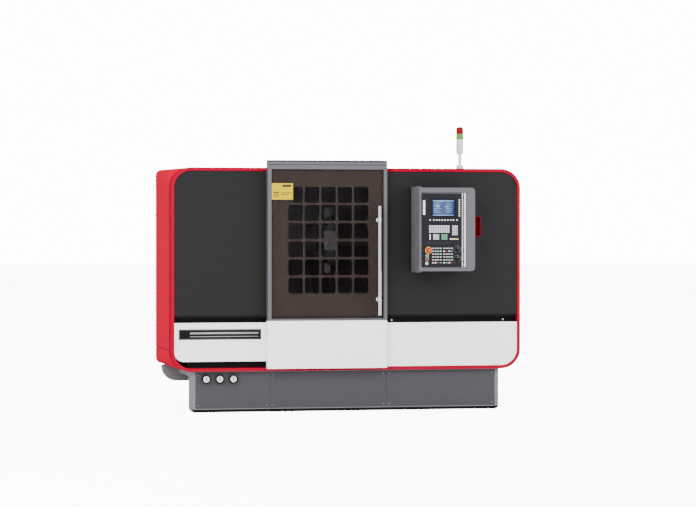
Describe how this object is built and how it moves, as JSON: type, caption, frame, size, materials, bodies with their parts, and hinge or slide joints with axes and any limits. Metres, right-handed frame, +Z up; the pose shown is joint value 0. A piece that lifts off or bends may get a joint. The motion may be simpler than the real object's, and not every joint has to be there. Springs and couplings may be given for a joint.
{
  "type": "cnc turning lathe",
  "caption": "Slant-bed turning lathe in a closed cabinet: rounded frame, sliding windowed door with bar handle, swivelling control panel, signal light, tool turret and tailstock inside.",
  "frame": {"origin": "on the floor, midway along the machine's length and depth", "axes": "+X from the headstock to the tailstock (the operator's right), +Y from the operator to the back, +Z up"},
  "size_m": [2.696, 1.8286, 2.155],
  "materials": {
    "red_paint": "gloss",
    "red_shell": "gloss",
    "dark_paint": "satin",
    "black_paint": "satin",
    "white_paint": "satin",
    "grey_paint": "textured",
    "light_grey_paint": "satin",
    "panel_grey": "satin",
    "machine_grey": "painted",
    "ground_steel": "ground",
    "dark_steel": "black oxide",
    "stainless": "brushed",
    "grid_brown": "satin",
    "tinted_glass": "clear",
    "chrome": "polished",
    "recess_red": "gloss",
    "belt_rubber": "matte",
    "button_red": "gloss",
    "button_green": "gloss",
    "button_black": "matte",
    "clear_plastic": "gloss",
    "lens_colour": "gloss",
    "gauge_face": "gloss",
    "motor_black": "satin"
  },
  "bodies": {
    "frame": {"base_frame": "grey_paint", "plinth": "black_paint", "base_covers": "grey_paint", "pressure_gauges": "gauge_face", "bed_casting": "machine_grey", "headstock": "machine_grey", "drive_motors": "motor_black", "drive_belt": "belt_rubber", "front_ring": "red_paint", "left_shell_upper": "red_shell", "left_shell_lower": "red_shell", "right_shell": "red_shell", "roof_panel": "white_paint", "rear_cover": "white_paint", "front_frame": "black_paint", "left_dark_panel": "dark_paint", "right_dark_panel": "dark_paint", "left_white_panel": "white_paint", "right_white_panel": "white_paint", "hand_recess": "recess_red", "pendant_arms": "light_grey_paint", "door_rail": "ground_steel", "signal_mast": "clear_plastic", "signal_lenses": "lens_colour", "work_area_liner": "stainless", "electrical_cabinet": "white_paint"},
    "spindle": {"spindle": "ground_steel", "chuck_body": "dark_steel"},
    "jaw_1": {"chuck_jaw_1": "ground_steel"},
    "jaw_2": {"chuck_jaw_2": "ground_steel"},
    "jaw_3": {"chuck_jaw_3": "ground_steel"},
    "motor_pulley": {"motor_pulley": "machine_grey"},
    "door": {"door_frame": "light_grey_paint", "door_glass": "tinted_glass", "door_grid": "grid_brown", "door_skirt": "white_paint", "door_handle": "chrome"},
    "roller_left": {"door_roller_left": "dark_steel"},
    "roller_right": {"door_roller_right": "dark_steel"},
    "pendant": {"control_box": "light_grey_paint", "operator_panel": "panel_grey", "machine_panel": "panel_grey"},
    "estop": {"estop_button": "button_red"},
    "start": {"start_button": "button_green"},
    "stop": {"stop_button": "button_red"},
    "lock": {"key_switch": "chrome"},
    "feed_knob": {"feed_knob": "button_black"},
    "speed_knob": {"speed_knob": "button_black"},
    "carriage": {"saddle": "machine_grey"},
    "cross_slide": {"cross_slide": "machine_grey", "turret_housing": "machine_grey"},
    "turret": {"turret_disc": "ground_steel"},
    "screw": {"carriage_screw": "ground_steel"},
    "cover_left": {"way_cover_left": "stainless"},
    "cover_right": {"way_cover_right": "stainless"},
    "tailstock": {"tailstock": "machine_grey"},
    "quill": {"quill": "ground_steel"},
    "centre": {"live_centre": "ground_steel"},
    "cabinet_door": {"cabinet_door": "white_paint"},
    "switch": {"main_switch": "button_red"}
  },
  "joints": [
    {"name": "spindle_spin", "type": "hinge", "parent": "frame", "child": "spindle", "pos_m": [-0.8, -0.2, 1.06], "axis": [1, 0, 0], "continuous": true},
    {"name": "jaw_1_close", "type": "slide", "parent": "spindle", "child": "jaw_1", "axis": [0, 0, -1], "range_m": [0, 0.005]},
    {"name": "jaw_2_close", "type": "slide", "parent": "spindle", "child": "jaw_2", "axis": [0, 0.866, 0.5], "range_m": [0, 0.005]},
    {"name": "jaw_3_close", "type": "slide", "parent": "spindle", "child": "jaw_3", "axis": [0, -0.866, 0.5], "range_m": [0, 0.005]},
    {"name": "motor_spin", "type": "hinge", "parent": "frame", "child": "motor_pulley", "pos_m": [-1.15, -0.38, 0.48], "axis": [1, 0, 0], "continuous": true},
    {"name": "door_slide", "type": "slide", "parent": "frame", "child": "door", "axis": [-1, 0, 0], "range_m": [0, 0.64]},
    {"name": "roller_left_spin", "type": "hinge", "parent": "door", "child": "roller_left", "pos_m": [-0.48, -0.478, 1.8523], "axis": [0, -1, 0], "continuous": true},
    {"name": "roller_right_spin", "type": "hinge", "parent": "door", "child": "roller_right", "pos_m": [0.14, -0.478, 1.8523], "axis": [0, -1, 0], "continuous": true},
    {"name": "pendant_swivel", "type": "hinge", "parent": "frame", "child": "pendant", "pos_m": [0.512, -0.75, 1.37], "axis": [0, 0, -1], "range_deg": [0, 90]},
    {"name": "estop_press", "type": "slide", "parent": "pendant", "child": "estop", "axis": [0, 1, 0], "range_m": [0, 0.004]},
    {"name": "start_press", "type": "slide", "parent": "pendant", "child": "start", "axis": [0, 1, 0], "range_m": [0, 0.003], "stiffness_N_per_m": 400},
    {"name": "stop_press", "type": "slide", "parent": "pendant", "child": "stop", "axis": [0, 1, 0], "range_m": [0, 0.003], "stiffness_N_per_m": 400},
    {"name": "lock_turn", "type": "hinge", "parent": "pendant", "child": "lock", "pos_m": [0.542, -0.9, 1.117], "axis": [0, 1, 0], "range_deg": [0, 90]},
    {"name": "feed_turn", "type": "hinge", "parent": "pendant", "child": "feed_knob", "pos_m": [0.778, -0.9, 1.222], "axis": [0, 1, 0], "range_deg": [-150, 150]},
    {"name": "speed_turn", "type": "hinge", "parent": "pendant", "child": "speed_knob", "pos_m": [0.778, -0.9, 1.1505], "axis": [0, 1, 0], "range_deg": [-150, 150]},
    {"name": "carriage_travel", "type": "slide", "parent": "frame", "child": "carriage", "axis": [1, 0, 0], "range_m": [-0.26, 0.24]},
    {"name": "cross_travel", "type": "slide", "parent": "carriage", "child": "cross_slide", "axis": [0, 0.7071, 0.7071], "range_m": [-0.095, 0.105]},
    {"name": "turret_index", "type": "hinge", "parent": "cross_slide", "child": "turret", "pos_m": [-0.05, 0.02627, 1.28627], "axis": [1, 0, 0], "continuous": true},
    {"name": "screw_spin", "type": "hinge", "parent": "frame", "child": "screw", "pos_m": [0, 0.23699, 0.96242], "axis": [1, 0, 0], "continuous": true},
    {"name": "cover_left_travel", "type": "slide", "parent": "frame", "child": "cover_left", "axis": [1, 0, 0], "range_m": [-0.13, 0.12]},
    {"name": "cover_right_travel", "type": "slide", "parent": "frame", "child": "cover_right", "axis": [1, 0, 0], "range_m": [-0.13, 0.12]},
    {"name": "tailstock_travel", "type": "slide", "parent": "frame", "child": "tailstock", "axis": [1, 0, 0], "range_m": [-0.2, 0]},
    {"name": "quill_travel", "type": "slide", "parent": "tailstock", "child": "quill", "axis": [1, 0, 0], "range_m": [-0.1, 0]},
    {"name": "centre_spin", "type": "hinge", "parent": "quill", "child": "centre", "pos_m": [0.7, -0.2, 1.06], "axis": [1, 0, 0], "continuous": true},
    {"name": "cabinet_door_swing", "type": "hinge", "parent": "frame", "child": "cabinet_door", "pos_m": [-0.696, 0.88, 1], "axis": [0, 0, 1], "range_deg": [0, 110]},
    {"name": "switch_turn", "type": "hinge", "parent": "cabinet_door", "child": "switch", "pos_m": [0.56, 0.9, 1.4], "axis": [0, 1, 0], "range_deg": [0, 90]}
  ],
  "couplings": [
    {"joint": "motor_spin", "follows": "spindle_spin", "ratio": 1.5224},
    {"joint": "jaw_2_close", "follows": "jaw_1_close", "ratio": 1},
    {"joint": "jaw_3_close", "follows": "jaw_1_close", "ratio": 1},
    {"joint": "roller_left_spin", "follows": "door_slide", "rad_per_m": 50},
    {"joint": "roller_right_spin", "follows": "door_slide", "rad_per_m": 50},
    {"joint": "screw_spin", "follows": "carriage_travel", "rad_per_m": 628.32},
    {"joint": "cover_left_travel", "follows": "carriage_travel", "ratio": 0.5},
    {"joint": "cover_right_travel", "follows": "carriage_travel", "ratio": 0.5}
  ]
}
